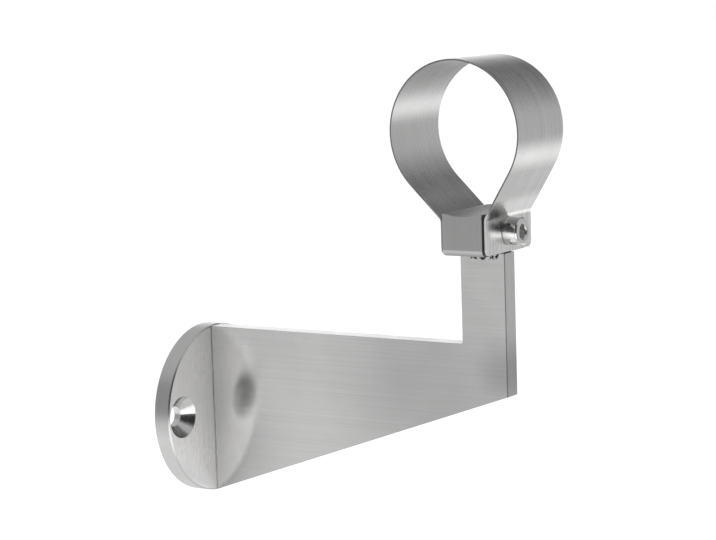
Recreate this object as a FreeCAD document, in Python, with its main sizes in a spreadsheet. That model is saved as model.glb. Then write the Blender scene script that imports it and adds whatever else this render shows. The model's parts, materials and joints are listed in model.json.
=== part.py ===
"""Wall bracket that carries a round handrail in a strap clamp.

A round flange is screwed to the wall. A tapered plate arm is welded to it on
edge, stands out from the wall and turns up at its end into a short upright.
A saddle block is welded across the top of the upright. A thin strap goes
round the rail and down both sides of the block, and one cap screw through its
two ears and the block closes it.

Frame: the origin is the middle of the flange's back face, on the wall.
+X points away from the wall, +Z is up, and the rail runs along Y.
Lengths are in millimetres and angles in degrees.
"""
import FreeCAD, Part
import math
import os
import Sketcher

SIZES = (
    # wall flange
    ("flange_diameter", 55.0),
    ("flange_thickness", 6.0),
    ("flange_edge_break", 0.4),
    ("wall_screw_spacing", 40.0),
    ("wall_screw_hole", 6.6),
    ("countersink_diameter", 13.6),
    ("countersink_angle", 90.0),
    # arm plate; reach is from the wall to the front side of the upright
    ("plate_thickness", 6.0),
    ("plate_edge_break", 0.15),
    ("root_edge_break", 0.3),
    ("root_height", 54.5),
    ("reach", 116.5),
    ("tip_height", 15.5),
    ("upright_width", 15.5),
    ("upright_rise", 28.35),
    ("inner_corner_radius", 0.8),
    # saddle block; its length is along X, it is as wide as the strap, and it
    # sits nearer to the wall than the upright's middle by block_shift
    ("block_length", 13.5),
    ("block_height", 12.8),
    ("block_shift", 0.5),
    ("block_edge_radius", 2.0),
    ("saddle_dip", 0.75),
    ("weld_length", 11.0),
    ("weld_leg", 2.3),
    # strap clamp; the bends' heights are above the block's underside, and the
    # loose strap holds the rail clear of the block by rail_clearance and is
    # wider than the rail by ring_play all round
    ("rail_diameter", 42.4),
    ("rail_clearance", 2.9),
    ("ring_play", 0.4),
    ("strap_lean", 2.2),
    ("strap_thickness", 0.5),
    ("strap_width", 28.0),
    ("wall_bend_radius", 2.0),
    ("wall_bend_height", 10.1),
    ("front_bend_radius", 2.5),
    ("front_bend_height", 10.8),
    ("ear_gap", 0.9),
    ("ear_foot_height", 0.45),
    ("ear_corner_radius", 1.8),
    # clamp screw and its nut; screw_level is above the block's underside
    ("screw_level", 6.6),
    ("screw_diameter", 5.0),
    ("screw_length", 20.0),
    ("screw_tip_break", 0.5),
    ("screw_play", 0.5),
    ("head_diameter", 8.7),
    ("head_height", 5.0),
    ("head_seat_break", 0.25),
    ("head_edge_radius", 0.7),
    ("socket_flats", 4.0),
    ("socket_depth", 2.5),
    ("socket_mouth", 0.3),
    ("socket_point", 3.4),
    ("nut_flats", 8.0),
    ("nut_height", 4.0),
    ("nut_face_diameter", 6.9),
    ("nut_face_height", 0.4),
    ("thread_play", 0.1),
)

# Places that several pieces share, as expressions of the sheet.
UPRIGHT_TOP = "(Sizes.root_height / 2 + Sizes.upright_rise)"
UPRIGHT_MIDDLE = "(Sizes.reach - Sizes.upright_width / 2)"
BLOCK_MIDDLE = f"({UPRIGHT_MIDDLE} - Sizes.block_shift)"
SCREW_HOLE = "(Sizes.screw_diameter + Sizes.screw_play)"
BLOCK_SIDE = "(Sizes.block_length / 2)"
WALL_EAR_OUTSIDE = f"({BLOCK_SIDE} + Sizes.strap_thickness)"
FRONT_EAR_INSIDE = f"({BLOCK_SIDE} + Sizes.ear_gap)"
FRONT_EAR_OUTSIDE = f"({FRONT_EAR_INSIDE} + Sizes.strap_thickness)"
RING_RADIUS = "(Sizes.rail_diameter / 2 + Sizes.ring_play)"

ORIGIN = (-1, 1)                    # a sketch's own origin, as Sketcher counts it
START, END, CENTRE = range(1, 4)    # the points of a sketched line or arc
NEAR = 1e-4                         # two lengths closer than this are the same
UP = FreeCAD.Vector(0, 0, 1)

doc = FreeCAD.newDocument("handrail_bracket")
sheet = doc.addObject("Spreadsheet::Sheet", "Sizes")
for row, (alias, number) in enumerate(SIZES, start=1):
    sheet.set(f"A{row}", alias.replace("_", " "))
    sheet.set(f"B{row}", str(number))
    sheet.setAlias(f"B{row}", alias)
doc.recompute()


# --- helpers ----------------------------------------------------------------

def amount(owner, expression):
    """What an expression of the sheet comes to with the present sizes."""
    return float(owner.evalExpression(str(expression)))


def new_body(label, x="0", z="0"):
    """A piece of its own, whose local origin stands at x and z."""
    body = doc.addObject("PartDesign::Body", label)
    body.Label = label
    body.setExpression("Placement.Base.x", x)
    body.setExpression("Placement.Base.z", z)
    doc.recompute()
    return body


def origin_part(body, role):
    """One of the body's own origin planes or axes, such as XZ_Plane."""
    return next(item for item in body.Origin.OriginFeatures if item.Role == role)


def new_sketch(body, name, plane, shift="0"):
    """A sketch on one of the body's origin planes, shifted along its normal."""
    sketch = body.newObject("Sketcher::SketchObject", name)
    sketch.AttachmentSupport = (origin_part(body, plane), [""])
    sketch.MapMode = "FlatFace"
    sketch.setExpression("AttachmentOffset.Base.z", shift)
    doc.recompute()
    return sketch


def hold(sketch, kind, places, name, expression):
    """A dimension of the sketch, bound to the sheet."""
    index = sketch.addConstraint(Sketcher.Constraint(kind, *places, amount(sketch, expression)))
    sketch.renameConstraint(index, name)
    sketch.setExpression(f"Constraints.{name}", str(expression))


def hold_point(sketch, place, name, across, along):
    """Puts a point at its two distances from the sketch's origin; None leaves one free."""
    for kind, expression, axis in (("DistanceX", across, -2), ("DistanceY", along, -1)):
        if expression is None:
            continue
        if expression == "0":
            sketch.addConstraint(Sketcher.Constraint("PointOnObject", *place, axis))
        else:
            hold(sketch, kind, ORIGIN + place, name + kind[-1], expression)


def draw_polygon(sketch, corners):
    """A closed outline through corners given as pairs of expressions."""
    points = [FreeCAD.Vector(amount(sketch, u), amount(sketch, v), 0) for u, v in corners]
    count = len(corners)
    lines = [Part.LineSegment(points[i], points[(i + 1) % count]) for i in range(count)]
    first = sketch.GeometryCount
    sketch.addGeometry(lines, False)
    for i in range(count):
        joined = (first + i, END, first + (i + 1) % count, START)
        sketch.addConstraint(Sketcher.Constraint("Coincident", *joined))
    for i, (across, along) in enumerate(corners):
        if i > 0 and across == corners[i - 1][0]:
            sketch.addConstraint(Sketcher.Constraint("Vertical", first + i - 1))
            across = None
        if i > 0 and along == corners[i - 1][1]:
            sketch.addConstraint(Sketcher.Constraint("Horizontal", first + i - 1))
            along = None
        hold_point(sketch, (first + i, START), f"corner{i}", across, along)


def draw_circle(sketch, across, along, diameter):
    """A circle of a bound diameter about a bound centre."""
    centre = FreeCAD.Vector(amount(sketch, across), amount(sketch, along), 0)
    circle = sketch.addGeometry(Part.Circle(centre, UP, amount(sketch, diameter) / 2), False)
    hold_point(sketch, (circle, CENTRE), "centre", across, along)
    hold(sketch, "Diameter", (circle,), "diameter", diameter)


def draw_hexagon(sketch, flats):
    """A hexagon about the origin, with two flats level."""
    side, corner, shoulder = f"({flats} / 2)", f"({flats} / sqrt(3))", f"({flats} / sqrt(3) / 2)"
    draw_polygon(sketch, ((corner, "0"), (shoulder, side), (f"-{shoulder}", side),
                          (f"-{corner}", "0"), (f"-{shoulder}", f"-{side}"), (shoulder, f"-{side}")))


def extrude(body, kind, name, sketch, length=None, both_ways=False, back=False):
    """A Pad or a Pocket of a sketch; with no length it goes all the way through."""
    feature = body.newObject(f"PartDesign::{kind}", name)
    feature.Profile = sketch
    feature.SideType = "Symmetric" if both_ways else "One side"
    feature.Reversed = back
    if length is None:
        feature.Type = "ThroughAll"
    else:
        feature.setExpression("Length", length)
    sketch.Visibility = False
    finish(body, feature, cuts=kind == "Pocket")


def turn(body, kind, name, sketch):
    """A Revolution or a Groove of a sketch about its horizontal axis."""
    feature = body.newObject(f"PartDesign::{kind}", name)
    feature.Profile = sketch
    feature.ReferenceAxis = (sketch, ["H_Axis"])
    feature.Angle = 360
    finish(body, feature, cuts=kind == "Groove")


def dress(body, kind, name, size_property, size, chosen):
    """A Fillet or a Chamfer of the edges of the last feature that are chosen by their place."""
    base = body.Tip
    names = [f"Edge{i}" for i, edge in enumerate(base.Shape.Edges, start=1) if chosen(edge)]
    feature = body.newObject(f"PartDesign::{kind}", name)
    feature.Base = (base, names)
    feature.setExpression(size_property, size)
    finish(body, feature)


def finish(body, feature, cuts=False):
    """Makes the feature the body's last one; one that cuts must leave less material."""
    body.Tip = feature
    doc.recompute()
    if cuts and feature.Shape.Volume > feature.BaseFeature.Shape.Volume - NEAR:
        raise RuntimeError(f"{feature.Label} takes no material away")


def spans(edge, **limits):
    """Whether an edge lies wholly at each stated x, y or z; y is taken on both sides alike."""
    box = edge.BoundBox
    ends = {"x": (box.XMin, box.XMax), "y": (box.YMin, box.YMax), "z": (box.ZMin, box.ZMax)}
    for axis, place in limits.items():
        low, high = ends[axis]
        if axis == "y":
            low, high = sorted((abs(low), abs(high)))
            if box.YMin * box.YMax < 0:
                return False
        if abs(low - place) > NEAR or abs(high - place) > NEAR:
            return False
    return True


def runs_along(edge, direction):
    """Whether an edge is straight and parallel to an axis."""
    box = edge.BoundBox
    lengths = {"x": box.XLength, "y": box.YLength, "z": box.ZLength}
    return all((length > NEAR) == (axis == direction) for axis, length in lengths.items())


# --- wall flange --------------------------------------------------------------

def make_wall_flange():
    """A turned disc with two countersunk screw holes, one each side of the arm."""
    body = new_body("wall_flange")
    disc = new_sketch(body, "flange_disc", "YZ_Plane")
    draw_circle(disc, "0", "0", "Sizes.flange_diameter")
    extrude(body, "Pad", "flange_pad", disc, "Sizes.flange_thickness")
    dress(body, "Chamfer", "flange_rims", "Size", "Sizes.flange_edge_break", lambda edge: edge.Closed)

    place = new_sketch(body, "wall_screw_place", "YZ_Plane", "Sizes.flange_thickness")
    draw_circle(place, "-Sizes.wall_screw_spacing / 2", "0", "Sizes.wall_screw_hole")
    hole = body.newObject("PartDesign::Hole", "wall_screw_hole")
    hole.Profile = place
    doc.recompute()
    hole.Threaded = False
    hole.DepthType = "ThroughAll"
    hole.HoleCutType = "Countersink"
    hole.HoleCutCustomValues = True
    hole.setExpression("Diameter", "Sizes.wall_screw_hole")
    hole.setExpression("HoleCutDiameter", "Sizes.countersink_diameter")
    hole.setExpression("HoleCutCountersinkAngle", "Sizes.countersink_angle")
    finish(body, hole, cuts=True)

    pair = body.newObject("PartDesign::Mirrored", "wall_screw_holes")
    pair.Originals = [hole]
    pair.MirrorPlane = (origin_part(body, "XZ_Plane"), [""])
    finish(body, pair, cuts=True)
    return body


# --- arm ------------------------------------------------------------------------

def make_bracket_arm():
    """One plate on edge: a tapered arm with its upright, cut in one outline."""
    body = new_body("bracket_arm")
    top, root = "Sizes.root_height / 2", "Sizes.flange_thickness"
    underside = "(Sizes.root_height / 2 - Sizes.tip_height)"
    back = "(Sizes.reach - Sizes.upright_width)"
    outline = new_sketch(body, "arm_outline", "XZ_Plane")
    draw_polygon(outline, ((root, "-Sizes.root_height / 2"), ("Sizes.reach", underside),
                           ("Sizes.reach", UPRIGHT_TOP), (back, UPRIGHT_TOP),
                           (back, top), (root, top)))
    extrude(body, "Pad", "arm_plate", outline, "Sizes.plate_thickness", both_ways=True)

    corner_x, corner_z = amount(body, back), amount(body, top)
    dress(body, "Fillet", "inner_corner", "Radius", "Sizes.inner_corner_radius",
          lambda edge: runs_along(edge, "y") and spans(edge, x=corner_x, z=corner_z))
    side = amount(body, "Sizes.plate_thickness / 2")
    root_x, top_z = amount(body, root), amount(body, UPRIGHT_TOP)
    dress(body, "Chamfer", "broken_edges", "Size", "Sizes.plate_edge_break",
          lambda edge: spans(edge, y=side) and not (spans(edge, z=top_z) or spans(edge, x=root_x)))
    dress(body, "Chamfer", "root_edges", "Size", "Sizes.root_edge_break",
          lambda edge: spans(edge, x=root_x, y=side))
    return body


# --- saddle block ---------------------------------------------------------------

def make_saddle_block():
    """A block across the upright, hollowed along its top to the rail's own radius."""
    body = new_body("saddle_block", BLOCK_MIDDLE, UPRIGHT_TOP)
    section = new_sketch(body, "block_section", "XZ_Plane")
    draw_polygon(section, ((f"-{BLOCK_SIDE}", "0"), (BLOCK_SIDE, "0"),
                           (BLOCK_SIDE, "Sizes.block_height"), (f"-{BLOCK_SIDE}", "Sizes.block_height")))
    extrude(body, "Pad", "block_bar", section, "Sizes.strap_width", both_ways=True)

    seat = new_sketch(body, "saddle_round", "XZ_Plane")
    seat_level = "(Sizes.block_height - Sizes.saddle_dip + Sizes.rail_diameter / 2)"
    draw_circle(seat, "0", seat_level, "Sizes.rail_diameter")
    extrude(body, "Pocket", "saddle_seat", seat, both_ways=True)

    bore = new_sketch(body, "block_bore_round", "YZ_Plane")
    draw_circle(bore, "0", "Sizes.screw_level", SCREW_HOLE)
    extrude(body, "Pocket", "block_bore", bore, both_ways=True)

    dress(body, "Fillet", "underside_edges", "Radius", "Sizes.block_edge_radius",
          lambda edge: runs_along(edge, "x") and spans(edge, z=0))
    return body


def make_weld_bead(label, side):
    """The fillet weld under the block, along one broad side of the upright."""
    body = new_body(label, UPRIGHT_MIDDLE, UPRIGHT_TOP)
    section = new_sketch(body, label + "_section", "YZ_Plane")
    inner, outer = "Sizes.plate_thickness / 2", "(Sizes.plate_thickness / 2 + Sizes.weld_leg)"
    if side < 0:
        inner, outer = f"-{inner}", f"-{outer}"
    draw_polygon(section, ((inner, "0"), (outer, "0"), (inner, "-Sizes.weld_leg")))
    extrude(body, "Pad", label + "_run", section, "Sizes.weld_length", both_ways=True)
    return body


# --- strap clamp ------------------------------------------------------------------

def flank_angle(ring, ring_radius, bend, bend_radius, turn_way):
    """The direction, in radians, from a bend's centre to where the strap leaves the bend.

    The straight flank is the line that touches the ring on one side and the
    bend on the other, so its normal leans from the line of centres by the
    angle whose cosine is the two radii together over the centres' distance.
    """
    apart = ring.sub(bend)
    lean = math.acos((ring_radius + bend_radius) / apart.Length)
    return math.atan2(apart.y, apart.x) + turn_way * lean


def on_circle(centre, radius, angle):
    """The point of a circle at an angle in radians."""
    return centre.add(FreeCAD.Vector(radius * math.cos(angle), radius * math.sin(angle), 0))


def draw_strap(sketch):
    """The strap's section: wall ear, bend, flank, ring, flank, bend and front ear.

    It is drawn as an outer and an inner run of tangent lines and arcs about
    the same three centres, closed across the feet of the two ears.
    """
    def size(expression):
        return amount(sketch, expression)

    rail_level = "(Sizes.block_height + Sizes.rail_clearance + Sizes.rail_diameter / 2)"
    ring = FreeCAD.Vector(-size("Sizes.strap_lean"), size(rail_level), 0)
    thickness, foot = size("Sizes.strap_thickness"), size("Sizes.ear_foot_height")
    hoop_r, wall_bend_r = size(RING_RADIUS), size("Sizes.wall_bend_radius")
    front_bend_r = size("Sizes.front_bend_radius")
    wall_bend = FreeCAD.Vector(-size(WALL_EAR_OUTSIDE) - wall_bend_r, size("Sizes.wall_bend_height"), 0)
    front_bend = FreeCAD.Vector(size(FRONT_EAR_OUTSIDE) + front_bend_r,
                                size("Sizes.front_bend_height"), 0)
    wall_way = flank_angle(ring, hoop_r + thickness, wall_bend, wall_bend_r, -1)
    front_way = flank_angle(ring, hoop_r + thickness, front_bend, front_bend_r, 1)

    def arc(centre, radius, first, last):
        return Part.ArcOfCircle(Part.Circle(centre, UP, radius), first, last)

    def line(first, last):
        return Part.LineSegment(first, last)

    def run(extra):
        """One side of the strap, extra being how far it lies outside the ring's inner face."""
        outward = thickness - extra
        ring_r, wall_r, front_r = hoop_r + extra, wall_bend_r + outward, front_bend_r + outward
        wall_ear, front_ear = wall_bend.x + wall_r, front_bend.x - front_r
        return [
            line(FreeCAD.Vector(wall_ear, foot, 0), FreeCAD.Vector(wall_ear, wall_bend.y, 0)),
            arc(wall_bend, wall_r, 0, wall_way),
            line(on_circle(wall_bend, wall_r, wall_way), on_circle(ring, ring_r, wall_way + math.pi)),
            arc(ring, ring_r, front_way - math.pi, wall_way + math.pi),
            line(on_circle(ring, ring_r, front_way - math.pi), on_circle(front_bend, front_r, front_way)),
            arc(front_bend, front_r, front_way, math.pi),
            line(FreeCAD.Vector(front_ear, front_bend.y, 0), FreeCAD.Vector(front_ear, foot, 0)),
        ]

    outer = list(sketch.addGeometry(run(thickness), False))
    inner = list(sketch.addGeometry(run(0), False))
    ear, bend, flank, hoop, far_flank, far_bend, far_ear = range(7)
    for side in (outer, inner):
        for one, one_end, other, other_end in (
                (ear, END, bend, START), (bend, END, flank, START), (flank, END, hoop, END),
                (hoop, START, far_flank, START), (far_flank, END, far_bend, START),
                (far_bend, END, far_ear, START)):
            sketch.addConstraint(Sketcher.Constraint("Tangent", side[one], one_end, side[other], other_end))
        for upright in (ear, far_ear):
            sketch.addConstraint(Sketcher.Constraint("Vertical", side[upright]))
    for centre in (bend, hoop, far_bend):
        sketch.addConstraint(Sketcher.Constraint("Coincident", outer[centre], CENTRE, inner[centre], CENTRE))

    for piece, piece_end, name in ((ear, START, "wall_foot"), (far_ear, END, "front_foot")):
        corners = [side[piece] for side in (outer, inner)]
        ends = [FreeCAD.Vector(sketch.getPoint(corner, piece_end)) for corner in corners]
        foot_line = sketch.addGeometry(line(*ends), False)
        for corner, foot_end in zip(corners, (START, END)):
            sketch.addConstraint(Sketcher.Constraint("Coincident", corner, piece_end, foot_line, foot_end))
        sketch.addConstraint(Sketcher.Constraint("Horizontal", foot_line))
        hold_point(sketch, (foot_line, START), name, None, "Sizes.ear_foot_height")

    hold_point(sketch, (outer[ear], START), "wall_ear_outside", f"-{WALL_EAR_OUTSIDE}", None)
    hold_point(sketch, (inner[ear], START), "wall_ear_inside", f"-{BLOCK_SIDE}", None)
    hold_point(sketch, (inner[far_ear], END), "front_ear_inside", FRONT_EAR_INSIDE, None)
    hold_point(sketch, (outer[far_ear], END), "front_ear_outside", FRONT_EAR_OUTSIDE, None)
    hold_point(sketch, (outer[bend], CENTRE), "wall_bend", None, "Sizes.wall_bend_height")
    hold_point(sketch, (outer[far_bend], CENTRE), "front_bend", None, "Sizes.front_bend_height")
    hold_point(sketch, (outer[hoop], CENTRE), "ring", "-Sizes.strap_lean", rail_level)
    hold(sketch, "Radius", (outer[bend],), "wall_bend_radius", "Sizes.wall_bend_radius")
    hold(sketch, "Radius", (outer[far_bend],), "front_bend_radius", "Sizes.front_bend_radius")
    hold(sketch, "Radius", (inner[hoop],), "ring_inner_radius", RING_RADIUS)
    hold(sketch, "Radius", (outer[hoop],), "ring_outer_radius",
         f"{RING_RADIUS} + Sizes.strap_thickness")


def make_clamp_strap():
    """A bent strip: a ring for the rail that leans to the wall, and two drilled ears."""
    body = new_body("clamp_strap", BLOCK_MIDDLE, UPRIGHT_TOP)
    section = new_sketch(body, "strap_section", "XZ_Plane")
    draw_strap(section)
    extrude(body, "Pad", "strap_strip", section, "Sizes.strap_width", both_ways=True)

    drill = new_sketch(body, "ear_hole_round", "YZ_Plane")
    draw_circle(drill, "0", "Sizes.screw_level", SCREW_HOLE)
    extrude(body, "Pocket", "ear_holes", drill, both_ways=True)

    side = amount(body, "Sizes.strap_width / 2")
    foot = amount(body, "Sizes.ear_foot_height")
    dress(body, "Fillet", "ear_corners", "Radius", "Sizes.ear_corner_radius",
          lambda edge: runs_along(edge, "x") and spans(edge, y=side, z=foot))
    return body


# --- screw and nut ------------------------------------------------------------------

def make_clamp_screw():
    """Cap screw; its head bears on the front ear and its tip ends in the nut."""
    body = new_body("clamp_screw", f"{BLOCK_MIDDLE} + {FRONT_EAR_OUTSIDE}",
                    f"{UPRIGHT_TOP} + Sizes.screw_level")
    shank, head = "Sizes.screw_diameter / 2", "Sizes.head_diameter / 2"
    mouth = "(Sizes.socket_flats / sqrt(3) + Sizes.socket_mouth)"
    half_section = new_sketch(body, "screw_half_section", "XZ_Plane")
    draw_polygon(half_section, (
        ("-Sizes.screw_length", "0"),
        ("-Sizes.screw_length", f"{shank} - Sizes.screw_tip_break"),
        ("-Sizes.screw_length + Sizes.screw_tip_break", shank),
        ("0", shank),
        ("0", f"{head} - Sizes.head_seat_break"),
        ("Sizes.head_seat_break", head),
        ("Sizes.head_height", head),
        ("Sizes.head_height", mouth),
        (f"Sizes.head_height - {mouth}", "0"),
    ))
    turn(body, "Revolution", "screw_turned", half_section)
    head_end, head_width = amount(body, "Sizes.head_height"), amount(body, "Sizes.head_diameter")
    dress(body, "Fillet", "head_edge", "Radius", "Sizes.head_edge_radius",
          lambda edge: spans(edge, x=head_end) and abs(edge.BoundBox.YLength - head_width) < NEAR)

    hexagon = new_sketch(body, "socket_hexagon", "YZ_Plane", "Sizes.head_height")
    draw_hexagon(hexagon, "Sizes.socket_flats")
    extrude(body, "Pocket", "socket", hexagon, "Sizes.socket_depth")

    floor, point = "(Sizes.head_height - Sizes.socket_depth)", "(Sizes.socket_point / 2)"
    cone = new_sketch(body, "socket_point_cone", "XZ_Plane")
    draw_polygon(cone, ((floor, "0"), (floor, point), (f"{floor} - {point} / sqrt(3)", "0")))
    turn(body, "Groove", "socket_drill_point", cone)
    return body


def make_clamp_nut():
    """Hexagon nut on the wall side: a round bearing face, and corners chamfered at 30 degrees."""
    body = new_body("clamp_nut", f"{BLOCK_MIDDLE} - {WALL_EAR_OUTSIDE}",
                    f"{UPRIGHT_TOP} + Sizes.screw_level")
    hexagon = new_sketch(body, "nut_hexagon", "YZ_Plane", "-Sizes.nut_face_height")
    draw_hexagon(hexagon, "Sizes.nut_flats")
    extrude(body, "Pad", "nut_blank", hexagon, "Sizes.nut_height - Sizes.nut_face_height", back=True)
    face_round = new_sketch(body, "nut_face_round", "YZ_Plane")
    draw_circle(face_round, "0", "0", "Sizes.nut_face_diameter")
    extrude(body, "Pad", "nut_face", face_round, "Sizes.nut_face_height", back=True)
    bore = new_sketch(body, "nut_bore_round", "YZ_Plane")
    draw_circle(bore, "0", "0", "(Sizes.screw_diameter + Sizes.thread_play)")
    extrude(body, "Pocket", "nut_bore", bore, both_ways=True)

    flat, outside = "(Sizes.nut_flats / 2)", "(Sizes.nut_flats / sqrt(2))"
    drop = f"(({outside} - {flat}) / sqrt(3))"
    for name, face, inward in (("bearing_chamfer", "-Sizes.nut_face_height", "-"),
                               ("outer_chamfer", "-Sizes.nut_height", "+")):
        wedge = new_sketch(body, name + "_section", "XZ_Plane")
        draw_polygon(wedge, ((face, flat), (face, outside), (f"{face} {inward} {drop}", outside)))
        turn(body, "Groove", name, wedge)
    return body


# --- the whole bracket ----------------------------------------------------------------

pieces = [
    make_wall_flange(),
    make_bracket_arm(),
    make_saddle_block(),
    make_weld_bead("near_weld_bead", -1),
    make_weld_bead("far_weld_bead", 1),
    make_clamp_strap(),
    make_clamp_screw(),
    make_clamp_nut(),
]
doc.recompute()

for item in doc.Objects:
    if {"Invalid", "Error"} & set(item.State):
        raise RuntimeError(f"{item.Label} was not built: {item.State}")
for piece in pieces:
    if piece.Shape.isNull() or not piece.Shape.isValid():
        raise RuntimeError(f"{piece.Label} has no valid shape")

os.makedirs("parts", exist_ok=True)
for piece in pieces:
    piece.Shape.exportStep(f"parts/{piece.Label}.step")
    print(f"{piece.Label}: {len(piece.Shape.Solids)} solid, {piece.Shape.Volume:.1f} cubic mm")
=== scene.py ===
"""The handrail bracket in brushed stainless steel, in a plain white studio."""
import json
import math
import random
import bmesh
import bpy
from mathutils import Matrix, Vector


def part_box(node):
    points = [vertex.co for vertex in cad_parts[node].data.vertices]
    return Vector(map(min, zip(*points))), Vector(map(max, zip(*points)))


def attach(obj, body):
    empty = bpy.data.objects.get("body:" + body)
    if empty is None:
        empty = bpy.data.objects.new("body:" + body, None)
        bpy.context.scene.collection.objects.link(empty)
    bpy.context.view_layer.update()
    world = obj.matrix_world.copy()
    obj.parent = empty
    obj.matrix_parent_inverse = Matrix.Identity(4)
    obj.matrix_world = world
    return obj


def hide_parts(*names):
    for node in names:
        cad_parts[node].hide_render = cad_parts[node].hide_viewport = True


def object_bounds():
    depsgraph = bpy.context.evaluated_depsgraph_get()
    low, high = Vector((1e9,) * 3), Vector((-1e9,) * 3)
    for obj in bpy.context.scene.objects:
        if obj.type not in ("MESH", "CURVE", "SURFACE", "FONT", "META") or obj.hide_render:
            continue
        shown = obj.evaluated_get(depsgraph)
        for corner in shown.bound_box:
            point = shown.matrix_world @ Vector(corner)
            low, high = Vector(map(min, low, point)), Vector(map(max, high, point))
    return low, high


MM = 0.001

# sizes of the part that the frame doesn't give, in millimetres
COUNTERSINK = 13.6     # across a countersink's rim
SOCKET_REACH = 2.5     # from the screw's axis to just past its socket's corners
THREAD_PITCH = 0.8
THREAD_LENGTH = 15.0   # from the screw's tip

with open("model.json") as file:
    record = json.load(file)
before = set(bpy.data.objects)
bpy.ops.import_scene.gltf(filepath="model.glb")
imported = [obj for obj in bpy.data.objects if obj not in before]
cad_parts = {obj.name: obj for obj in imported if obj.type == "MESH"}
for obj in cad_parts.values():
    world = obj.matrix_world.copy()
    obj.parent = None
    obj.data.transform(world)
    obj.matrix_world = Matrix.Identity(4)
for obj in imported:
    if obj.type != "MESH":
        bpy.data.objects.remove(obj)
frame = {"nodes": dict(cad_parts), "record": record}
cad_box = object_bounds()
nodes = frame["nodes"]
middle = (Vector(cad_box[0]) + Vector(cad_box[1])) / 2


# --- node tree helpers ------------------------------------------------------------

class Nodes:
    """A node tree that is filled by short calls."""

    def __init__(self, tree):
        self.tree = tree
        tree.nodes.clear()

    def add(self, kind, inputs=None, **settings):
        """A node; inputs maps a socket's name or number to a value or to another node's output."""
        node = self.tree.nodes.new(kind)
        for name, value in settings.items():
            setattr(node, name, value)
        for key, value in (inputs or {}).items():
            if isinstance(value, bpy.types.NodeSocket):
                self.tree.links.new(value, node.inputs[key])
            else:
                node.inputs[key].default_value = value
        return node

    def math(self, operation, *values):
        """A Math node's output."""
        return self.add("ShaderNodeMath", dict(enumerate(values)), operation=operation).outputs[0]

    def ramp(self, value, low, high, to_low=0.0, to_high=1.0):
        """A value taken smoothly from one range to another."""
        inputs = {"Value": value, "From Min": low, "From Max": high,
                  "To Min": to_low, "To Max": to_high}
        ramp = self.add("ShaderNodeMapRange", inputs, interpolation_type="SMOOTHSTEP")
        return ramp.outputs["Result"]

    def noise(self, place, scale, detail=2.0, roughness=0.5):
        """Noise stretched by a scale for each axis, in cycles per metre."""
        mapped = self.add("ShaderNodeMapping", {"Vector": place, "Scale": scale})
        inputs = {"Vector": mapped.outputs[0], "Scale": 1.0,
                  "Detail": detail, "Roughness": roughness}
        return self.add("ShaderNodeTexNoise", inputs).outputs["Fac"]

    def blend(self, factor, first, second):
        """One number or the other."""
        inputs = {0: factor, 2: first, 3: second}
        return self.add("ShaderNodeMix", inputs, data_type="FLOAT").outputs[0]

    def turn(self, factor, first, second):
        """One direction or the other."""
        inputs = {0: factor, 4: first, 5: second}
        return self.add("ShaderNodeMix", inputs, data_type="VECTOR").outputs[1]

    def split(self, vector):
        """A vector's X, Y and Z."""
        return self.add("ShaderNodeSeparateXYZ", {0: vector}).outputs

    def length(self, first, second):
        """How far a pair of offsets at right angles reaches."""
        squares = self.math("ADD", self.math("POWER", first, 2.0), self.math("POWER", second, 2.0))
        return self.math("SQRT", squares)

    def darken(self, shade, where, share):
        """A shade that loses a share of itself where a mask is one."""
        return self.math("MULTIPLY", shade, self.math("MULTIPLY_ADD", where, -share, 1.0))


# --- steel ------------------------------------------------------------------------

ALONG, OVER = 12.0, 2600.0    # cycles per metre along and across the brush marks
USUAL = (0.3, 0.7)            # the range in which most values of a noise fall
FACING = 0.8                  # a face looks along an axis when this much of its normal does
FINER, FINE_SHARE = 2.7, 0.45    # the fine marks' scale beside the coarse ones, and their share
STEEL_TINT = (1.0, 0.995, 0.99)


class Finish:
    """How one set of faces is brushed: along an axis, or round an axis.

    marks is the noise scale for X, Y and Z, low along the marks, and tangent is
    the direction across them, in which the steel scatters light the most.
    """

    def __init__(self, marks, tangent, tone=0.60, rough=0.36, streak=0.07):
        self.marks, self.tangent = marks, tangent
        self.tone, self.rough, self.streak = tone, rough, streak


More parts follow.
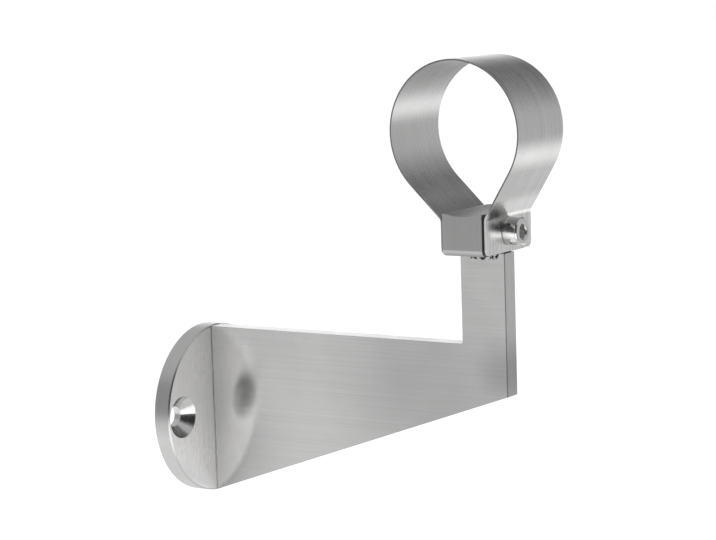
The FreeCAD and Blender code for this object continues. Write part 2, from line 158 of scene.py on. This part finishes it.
def steel(name, finish, facing=None, faces="X", depth=0.010, spread=0.04, wear=0.02,
          anisotropy=0.85, wear_and_painted_light=None, relief=None, crossed=None):
    """Brushed steel. Faces that look along the axis named faces take the finish facing.

    depth is the marks' height in millimetres, and spread and wear are how far roughness
    varies with them and in clouds. From the node tree and the spot, worn makes two factors
    for tone and roughness, which carry wear and also painted shade, painted reflections and
    painted highlights; relief makes a height in millimetres, and crossed says where
    light scatters upright instead.
    """
    material = bpy.data.materials.new(name)
    material.use_nodes = True
    nt = Nodes(material.node_tree)
    place = nt.add("ShaderNodeTexCoord")
    spot, normal = place.outputs["Object"], place.outputs["Normal"]

    def look(side):
        """The marks, tangent, tone and roughness of one finish."""
        coarse = nt.noise(spot, side.marks, 3.0, 0.6)
        fine = nt.noise(spot, [FINER * value for value in side.marks], 2.0, 0.5)
        marks = nt.math("MULTIPLY_ADD", fine, FINE_SHARE,
                        nt.math("MULTIPLY", coarse, 1 - FINE_SHARE))
        across = nt.add("ShaderNodeCombineXYZ", dict(enumerate(side.tangent))).outputs[0]
        shade = nt.ramp(marks, *USUAL, side.tone * (1 - side.streak), side.tone * (1 + side.streak))
        rough = nt.ramp(marks, *USUAL, side.rough - spread, side.rough + spread)
        return marks, across, shade, rough

    marks, across, shade, rough = look(finish)
    if facing:
        chosen = nt.math("GREATER_THAN", nt.math("ABSOLUTE", nt.split(normal)[faces]), FACING)
        other = look(facing)
        marks = nt.blend(chosen, marks, other[0])
        across = nt.turn(chosen, across, other[1])
        shade = nt.blend(chosen, shade, other[2])
        rough = nt.blend(chosen, rough, other[3])
    if crossed:
        across = nt.turn(crossed(nt, spot), across, (0.0, 0.0, 1.0))

    cloud = nt.noise(spot, (70.0, 70.0, 70.0), 3.0, 0.55)
    shade = nt.math("MULTIPLY", shade, nt.ramp(cloud, *USUAL, 1 - wear, 1 + wear))
    rough = nt.math("ADD", rough, nt.ramp(cloud, *USUAL, -wear, wear))
    # tone and roughness factors for wear and for painted shade, reflections and highlights
    if wear_and_painted_light:
        shade_factor, rough_factor = wear_and_painted_light(nt, spot)
        shade = nt.math("MULTIPLY", shade, shade_factor)
        rough = nt.math("MULTIPLY", rough, rough_factor)
    height = nt.math("MULTIPLY", marks, depth)
    if relief:
        height = nt.math("ADD", height, relief(nt, spot))

    colour = nt.add("ShaderNodeVectorMath", {0: STEEL_TINT, "Scale": shade}, operation="SCALE")
    bump = nt.add("ShaderNodeBump", {"Height": height, "Distance": MM, "Strength": 1.0})
    surface = nt.add("ShaderNodeBsdfPrincipled", {
        "Base Color": colour.outputs[0], "Metallic": 1.0, "Roughness": rough,
        "Anisotropic": anisotropy, "Tangent": across, "Normal": bump.outputs[0]})
    nt.add("ShaderNodeOutputMaterial", {"Surface": surface.outputs[0]})
    return material


def flange_polish_and_painted_light(nt, spot):
    """The countersinks are bright and smooth, each darker on its upper side away from the arm.
    The face has painted shade by the arm, and a painted reflection makes it brighter at its foot
    and darker at its top.
    """
    spacing = next(mount["dims"]["spacing_x_mm"] for mount in frame["record"]["mounts"]
                   if mount["name"] == "wall_screws")
    back, front = (corner[0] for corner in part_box("wall_flange"))
    x, y, z = nt.split(spot)
    from_arm = nt.math("ABSOLUTE", y)
    past_axis = nt.math("SUBTRACT", from_arm, spacing / 2 * MM)    # of the nearer hole

    rim = (COUNTERSINK / 2 - 0.1) * MM
    past_rim = nt.math("GREATER_THAN", nt.length(past_axis, z), rim)
    on_back = nt.math("LESS_THAN", x, back + 0.05 * MM)
    on_plate = nt.math("MAXIMUM", past_rim, on_back)

    # a darker patch on each countersink's upper side, away from the arm
    dark_patch = nt.math("MULTIPLY", nt.ramp(past_axis, -1 * MM, 1 * MM), nt.ramp(z, 1 * MM, 5 * MM))
    countersink = nt.blend(dark_patch, 1.15, 0.2)

    # painted shade on the face by the arm, and a painted reflection that is brighter low and darker
    # high
    painted_shade_by_arm = nt.ramp(from_arm, 3 * MM, 15 * MM, 0.88, 1.0)
    painted_reflection_by_height = nt.ramp(z, -22 * MM, 22 * MM, 1.2, 0.86)
    on_face = nt.math("GREATER_THAN", x, front - 0.2 * MM)
    plate = nt.blend(on_face, 1.0, nt.math("MULTIPLY", painted_shade_by_arm, painted_reflection_by_height))
    return nt.blend(on_plate, countersink, plate), nt.blend(on_plate, 0.75, 1.0)


def arm_painted_shade(nt, spot):
    """The arm has painted shade along its joint with the flange, in a spot by the flange and one
    before its upright, on upward faces and on the corners of its front end. A third spot, low on
    its end, is darker.
    """
    low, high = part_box("bracket_arm")
    # the first two spots are painted shade; the third, low on the end, is a darker spot
    # each spot's middle, the radii of its core and its edge in mm, and the factor in its core
    at_flange = ((low[0], low[1], low[2] + 15 * MM), 6, 34, 0.76)
    before_upright = ((high[0] - 28 * MM, low[1], low[2] + 38 * MM), 5, 45, 0.78)
    low_on_end = ((high[0], 0.0, low[2] + 46.5 * MM), 2, 14, 0.70)

    x, y, _ = nt.split(spot)
    # painted shade where the arm meets the flange
    shade = nt.ramp(x, low[0], low[0] + 14 * MM, 0.80, 1.0)
    for place, core, edge, factor in (at_flange, before_upright, low_on_end):
        away = nt.add("ShaderNodeVectorMath", {0: spot, 1: place}, operation="DISTANCE")
        darkened = nt.ramp(away.outputs["Value"], core * MM, edge * MM, factor, 1.0)
        shade = nt.math("MULTIPLY", shade, darkened)
    # painted shade on the side corners of the front end
    at_front = nt.math("GREATER_THAN", x, high[0] - 0.35 * MM)
    at_side = nt.math("GREATER_THAN", nt.math("ABSOLUTE", y), high[1] - 0.12 * MM)
    shade = nt.darken(shade, nt.math("MULTIPLY", at_front, at_side), 0.6)
    # painted shade on upward faces
    normal = nt.add("ShaderNodeTexCoord").outputs["Normal"]
    faces_up = nt.math("GREATER_THAN", nt.split(normal)["Z"], FACING)
    return nt.darken(shade, faces_up, 0.28), 1.0


def polished_ears_and_edge_highlight(nt, spot):
    """The ears are smoother than the brushed ring, and the front one's edges carry a painted
    highlight.
    """
    low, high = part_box("clamp_strap")
    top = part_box("saddle_block")[1][2]
    x, y, z = nt.split(spot)
    at_edge = nt.math("GREATER_THAN", nt.math("ABSOLUTE", y), high[1] - 0.15 * MM)
    in_front = nt.math("GREATER_THAN", x, (low[0] + high[0]) / 2)
    # a painted highlight on the front ear's edges, below the block's top
    edge_highlight = nt.math("MULTIPLY", at_edge, nt.ramp(z, top - 1 * MM, top + 2 * MM, 1.2, 0.0))
    shade = nt.math("MULTIPLY_ADD", edge_highlight, in_front, 1.0)
    return shade, nt.ramp(z, top - 2 * MM, top + 5 * MM, 0.80, 1.0)


def at_ears(nt, spot):
    """One on the strap's ears and their bends, and none on its ring."""
    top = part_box("saddle_block")[1][2]
    return nt.ramp(nt.split(spot)["Z"], top, top + 9 * MM, 1.0, 0.0)


def socket_wear(nt, spot):
    """The screw's socket is punched, so it is rougher than the polished head."""
    low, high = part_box("clamp_screw")
    x, y, z = nt.split(spot)
    from_axis = nt.length(y, nt.math("SUBTRACT", z, (low[2] + high[2]) / 2))
    below_face = nt.math("LESS_THAN", x, high[0] - 0.02 * MM)
    in_socket = nt.math("MULTIPLY", nt.math("LESS_THAN", from_axis, SOCKET_REACH * MM), below_face)
    return 1.0, nt.blend(in_socket, 1.0, 3.4)


def screw_thread(nt, spot):
    """The height of the thread's helix on the screw's shank, and none on its head."""
    low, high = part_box("clamp_screw")
    x, y, z = nt.split(spot)
    angle = nt.math("ARCTAN2", nt.math("SUBTRACT", z, (low[2] + high[2]) / 2), y)
    turns = nt.math("MULTIPLY_ADD", angle, 1 / math.tau, nt.math("DIVIDE", x, THREAD_PITCH * MM))
    ridge = nt.math("PINGPONG", turns, 0.5)
    threaded = nt.math("LESS_THAN", x, low[0] + THREAD_LENGTH * MM)
    return nt.math("MULTIPLY", ridge, threaded)


def dress_nodes():
    """Each CAD node's own steel, brushed the way that its piece was finished, with painted shade
    and highlights on some parts.
    """
    across_x, across_y, across_z = (1, 0, 0), (0, 1, 0), (0, 0, 1)
    upright = (OVER, OVER, ALONG)
    polished = Finish((400.0, 60.0, 60.0), across_x, tone=0.64, rough=0.08)
    fastener = {"depth": 0.001, "spread": 0.02, "wear": 0.01, "anisotropy": 0.3}
    looks = {
        "wall_flange": steel(
            "flange_steel",
            Finish((OVER, ALONG, ALONG), across_x, rough=0.33),
            Finish(upright, across_y, tone=0.86, rough=0.30),
            wear_and_painted_light=flange_polish_and_painted_light),
        "bracket_arm": steel(
            "arm_steel",
            Finish((ALONG, 1.5 * OVER, 1.5 * OVER), across_z, tone=0.70, rough=0.21, streak=0.05),
            Finish(upright, across_y, tone=0.70),
            depth=0.003, spread=0.02, anisotropy=0.95, wear_and_painted_light=arm_painted_shade),
        "saddle_block": steel(
            "block_steel",
            Finish(upright, across_x, tone=0.55, rough=0.55),
            # the faces along X, under the ears, are painted dark: painted shade where the ears
            # cover them
            Finish(upright, across_y, tone=0.2, rough=0.5),
            wear=0.05),
        "clamp_strap": steel(
            "strap_steel",
            Finish((ALONG, OVER, ALONG), across_y, tone=0.64, rough=0.28, streak=0.15),
            Finish((OVER, OVER, OVER), across_x, tone=0.34, rough=0.5),
            faces="Y", wear_and_painted_light=polished_ears_and_edge_highlight, crossed=at_ears),
        "clamp_screw": steel(
            "screw_steel", polished, wear_and_painted_light=socket_wear, relief=screw_thread, **fastener),
        "clamp_nut": steel("nut_steel", polished, **fastener),
    }
    for node, material in looks.items():
        for slot in nodes[node].material_slots:
            slot.material = material


def round_edges():
    """Fine rounded edges where the CAD pieces are cut square."""
    closed = nodes["clamp_screw"].modifiers.new("socket_point", "WELD")
    closed.merge_threshold = 0.0005 * MM    # closes a sliver at the point of the socket's drilling
    for node, width, sharpest in (
            # the width in millimetres, and the angle in degrees from which an edge is rounded
            ("saddle_block", 0.12, 50), ("clamp_strap", 0.12, 50),
            ("clamp_nut", 0.12, 50), ("clamp_screw", 0.04, 30)):
        bevel = nodes[node].modifiers.new("edges", "BEVEL")
        bevel.width = width * MM
        bevel.segments = 2
        bevel.limit_method = "ANGLE"
        bevel.angle_limit = math.radians(sharpest)
        bevel.harden_normals = True


# --- welds ------------------------------------------------------------------------

SMALLEST_BEAD = 0.86    # its size as a share of the CAD's plain bead
RIPPLE = 0.35           # the share of its size that a bead loses where it meets the next
END_TAPER = 0.5         # the share of its size that the row loses at its ends
FLATNESS = 0.24         # how much nearer to the corner a bead's face is at its middle


def weld_bead(node, beads=5, rings=60, steps=8):
    """A row of overlapping weld beads in the corner that the CAD's plain bead fills."""
    low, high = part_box(node)
    side = 1.0 if high[1] > 0 else -1.0
    inner = low[1] if side > 0 else high[1]
    leg, run = high[2] - low[2], high[0] - low[0]
    rand = random.Random(7)
    sizes = [rand.uniform(SMALLEST_BEAD, 1.0) for _ in range(beads)]
    mesh = bmesh.new()
    loops = []
    for i in range(rings + 1):
        along = i / rings
        index, phase = divmod(along * beads, 1.0)
        ripple = 1.0 - RIPPLE * abs(2.0 * phase - 1.0) ** 3
        taper = 1.0 - (2.0 * along - 1.0) ** 8 * END_TAPER
        size = leg * ripple * sizes[min(int(index), beads - 1)] * taper
        x = low[0] + run * along
        loop = [mesh.verts.new((x, inner, high[2]))]
        for j in range(steps + 1):
            turn = math.radians(90.0) * j / steps
            reach = size * (1.0 - FLATNESS * math.sin(2.0 * turn))
            loop.append(mesh.verts.new((x, inner + side * reach * math.cos(turn),
                                        high[2] - reach * math.sin(turn))))
        loops.append(loop)
    count = len(loops[0])
    for one, other in zip(loops, loops[1:]):
        for j in range(count):
            k = (j + 1) % count
            mesh.faces.new((one[j], one[k], other[k], other[j]))
    mesh.faces.new(loops[0])
    mesh.faces.new(loops[-1])
    bmesh.ops.recalc_face_normals(mesh, faces=mesh.faces)
    data = bpy.data.meshes.new(node + "_ripples")
    mesh.to_mesh(data)
    mesh.free()
    for face in data.polygons:
        face.use_smooth = len(face.vertices) == 4    # all but the two ends
    bead = bpy.data.objects.new(node + "_ripples", data)
    bpy.context.scene.collection.objects.link(bead)
    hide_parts(node)
    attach(bead, "root")
    return bead


def weld_pit_shade(nt, spot):
    """Painted shade in dark pits between the weld's ripples, where the steel is also rougher."""
    pits = nt.noise(spot, (650.0, 400.0, 400.0), 1.0, 0.5)
    pitted, clean = 0.49, 0.58    # the noise in a pit and beside it
    # painted shade in the pits
    return nt.ramp(pits, pitted, clean, 0.05, 1.0), nt.ramp(pits, pitted, clean, 1.6, 1.0)


def make_welds():
    """Both welds under the saddle block, in pitted weld metal with painted shade in the pits."""
    finish = Finish((900.0, 900.0, 900.0), (1, 0, 0), tone=0.62, rough=0.30, streak=0.15)
    metal = steel("weld_steel", finish, depth=0.25, anisotropy=0.0, wear_and_painted_light=weld_pit_shade)
    for node in ("near_weld_bead", "far_weld_bead"):
        weld_bead(node).data.materials.append(metal)


# --- studio -----------------------------------------------------------------------

WHITE = (1.0, 1.0, 1.0, 1.0)
PANELS = (
    # bearing from +X towards +Y, half width, lower and upper height and softness, all in
    # degrees, then the brightness that the panel adds
    (126, 16, -16, 20, 6, 1.05),      # white wall behind the flange
    (91, 26, 13, 72, 8, -0.44),       # dark corner behind, above
    (70, 13, -28, -14, 6, 1.00),      # light box behind, low at the right
    (105, 17, -50, -17, 8, -0.26),    # grey table behind
    (180, 60, -72, -24, 10, 0.32),    # pale table at the left
    (233, 10, -40, -10, 4, 0.28),     # pale table in front, at the left
    (236, 22, -8, 34, 6, -0.20),      # dark room in front, at the left
    (303, 34, -50, -11, 6, 1.05),     # white table in front, at the right
    (303, 10, -40, -10, 5, 1.00),     # light box on that table
    (303, 40, -8, 50, 6, -0.54),      # dark room in front, at the right
    (352, 22, -35, 30, 10, -0.25),    # dim room at the right
)


def make_world():
    """White to the camera. The bracket stands among soft panels, which its steel mirrors."""
    world = bpy.data.worlds.new("studio")
    bpy.context.scene.world = world
    world.use_nodes = True
    nt = Nodes(world.node_tree)
    way = nt.add("ShaderNodeTexCoord").outputs["Generated"]
    height = nt.split(way)["Z"]
    flat = nt.add("ShaderNodeVectorMath", {0: way, 1: (1.0, 1.0, 0.0)}, operation="MULTIPLY")
    flat = nt.add("ShaderNodeVectorMath", {0: flat.outputs[0]}, operation="NORMALIZE").outputs[0]
    level = nt.ramp(height, -0.95, -0.3, 0.78, 0.63)    # the plain room is palest straight below
    for bearing, half_width, low, high, soft, brightness in PANELS:
        aim = (math.cos(math.radians(bearing)), math.sin(math.radians(bearing)), 0.0)
        near = nt.add("ShaderNodeVectorMath", {0: flat, 1: aim}, operation="DOT_PRODUCT")
        sides, bottom, top = (
            [wave(math.radians(edge - soft)), wave(math.radians(edge + soft))]
            for wave, edge in ((math.cos, half_width), (math.sin, low), (math.sin, high)))
        within = nt.ramp(near.outputs["Value"], sides[1], sides[0])
        inside = nt.math("MULTIPLY", within, nt.ramp(height, *bottom))
        inside = nt.math("MULTIPLY", inside, nt.ramp(height, *top, 1.0, 0.0))
        level = nt.math("MULTIPLY_ADD", inside, brightness, level)
    ray = nt.add("ShaderNodeLightPath").outputs
    level = nt.blend(ray["Is Camera Ray"], level, 1.0)
    sky = nt.add("ShaderNodeBackground", {"Color": WHITE, "Strength": level})
    nt.add("ShaderNodeOutputWorld", {"Surface": sky.outputs[0]})


def make_floor():
    """A wide white floor below the bracket, which hangs on its wall above it.

    From below the floor is clear.
    """
    drop, reach = 60 * MM, 6.0    # metres
    level = cad_box[0][2] - drop
    corners = [(x * reach, y * reach, level) for x, y in ((-1, -1), (1, -1), (1, 1), (-1, 1))]
    mesh = bpy.data.meshes.new("floor")
    mesh.from_pydata(corners, [], [(0, 1, 2, 3)])
    floor = bpy.data.objects.new("floor", mesh)
    bpy.context.scene.collection.objects.link(floor)
    floor.visible_glossy = False    # the steel mirrors the panels below it
    floor.visible_shadow = False    # and doesn't lose the light that comes from there

    material = bpy.data.materials.new("floor_white")
    material.use_nodes = True
    nt = Nodes(material.node_tree)
    to_camera = nt.add("ShaderNodeLightPath").outputs["Is Camera Ray"]
    glow = nt.add("ShaderNodeEmission", {
        "Color": WHITE, "Strength": nt.math("MULTIPLY", to_camera, 0.62)})
    paint = nt.add("ShaderNodeBsdfDiffuse", {"Color": (0.9, 0.9, 0.9, 1.0)})
    above = nt.add("ShaderNodeAddShader", {0: glow.outputs[0], 1: paint.outputs[0]})
    below = nt.add("ShaderNodeBsdfTransparent")
    under = nt.add("ShaderNodeNewGeometry").outputs["Backfacing"]
    surface = nt.add("ShaderNodeMixShader", {0: under, 1: above.outputs[0], 2: below.outputs[0]})
    nt.add("ShaderNodeOutputMaterial", {"Surface": surface.outputs[0]})
    mesh.materials.append(material)


def make_lamp():
    """A large soft key lamp at the upper left, which faces the bracket's middle."""
    data = bpy.data.lights.new("key", "AREA")
    data.size = 0.6
    data.energy = 3.0
    lamp = bpy.data.objects.new("key", data)
    lamp.location = middle + Vector((-0.5, -0.7, 0.9))
    lamp.visible_glossy = False
    lamp.rotation_euler = (middle - lamp.location).to_track_quat("-Z", "Y").to_euler()
    bpy.context.scene.collection.objects.link(lamp)


def make_camera():
    """A long lens, a little above the arm and to the right of the rail's end."""
    azimuth, elevation, roll = (math.radians(angle) for angle in (32.88, 7.61, -1.84))
    distance, lens = 726.6 * MM, 117.5
    aim = middle + Vector((1.8, -6.0, 5.25)) * MM
    back = Vector((math.sin(azimuth) * math.cos(elevation),
                   -math.cos(azimuth) * math.cos(elevation),
                   math.sin(elevation)))
    right = Vector((math.cos(azimuth), math.sin(azimuth), 0.0))
    axes = Matrix((right, back.cross(right), back)).transposed() @ Matrix.Rotation(roll, 3, "Z")
    data = bpy.data.cameras.new("camera")
    data.lens = lens
    data.sensor_width = 36.0
    camera = bpy.data.objects.new("camera", data)
    camera.matrix_world = Matrix.Translation(aim + back * distance) @ axes.to_4x4()
    bpy.context.scene.collection.objects.link(camera)
    bpy.context.scene.camera = camera


dress_nodes()
round_edges()
make_welds()
make_world()
make_floor()
make_lamp()
make_camera()
bpy.context.scene.view_settings.view_transform = "Standard"
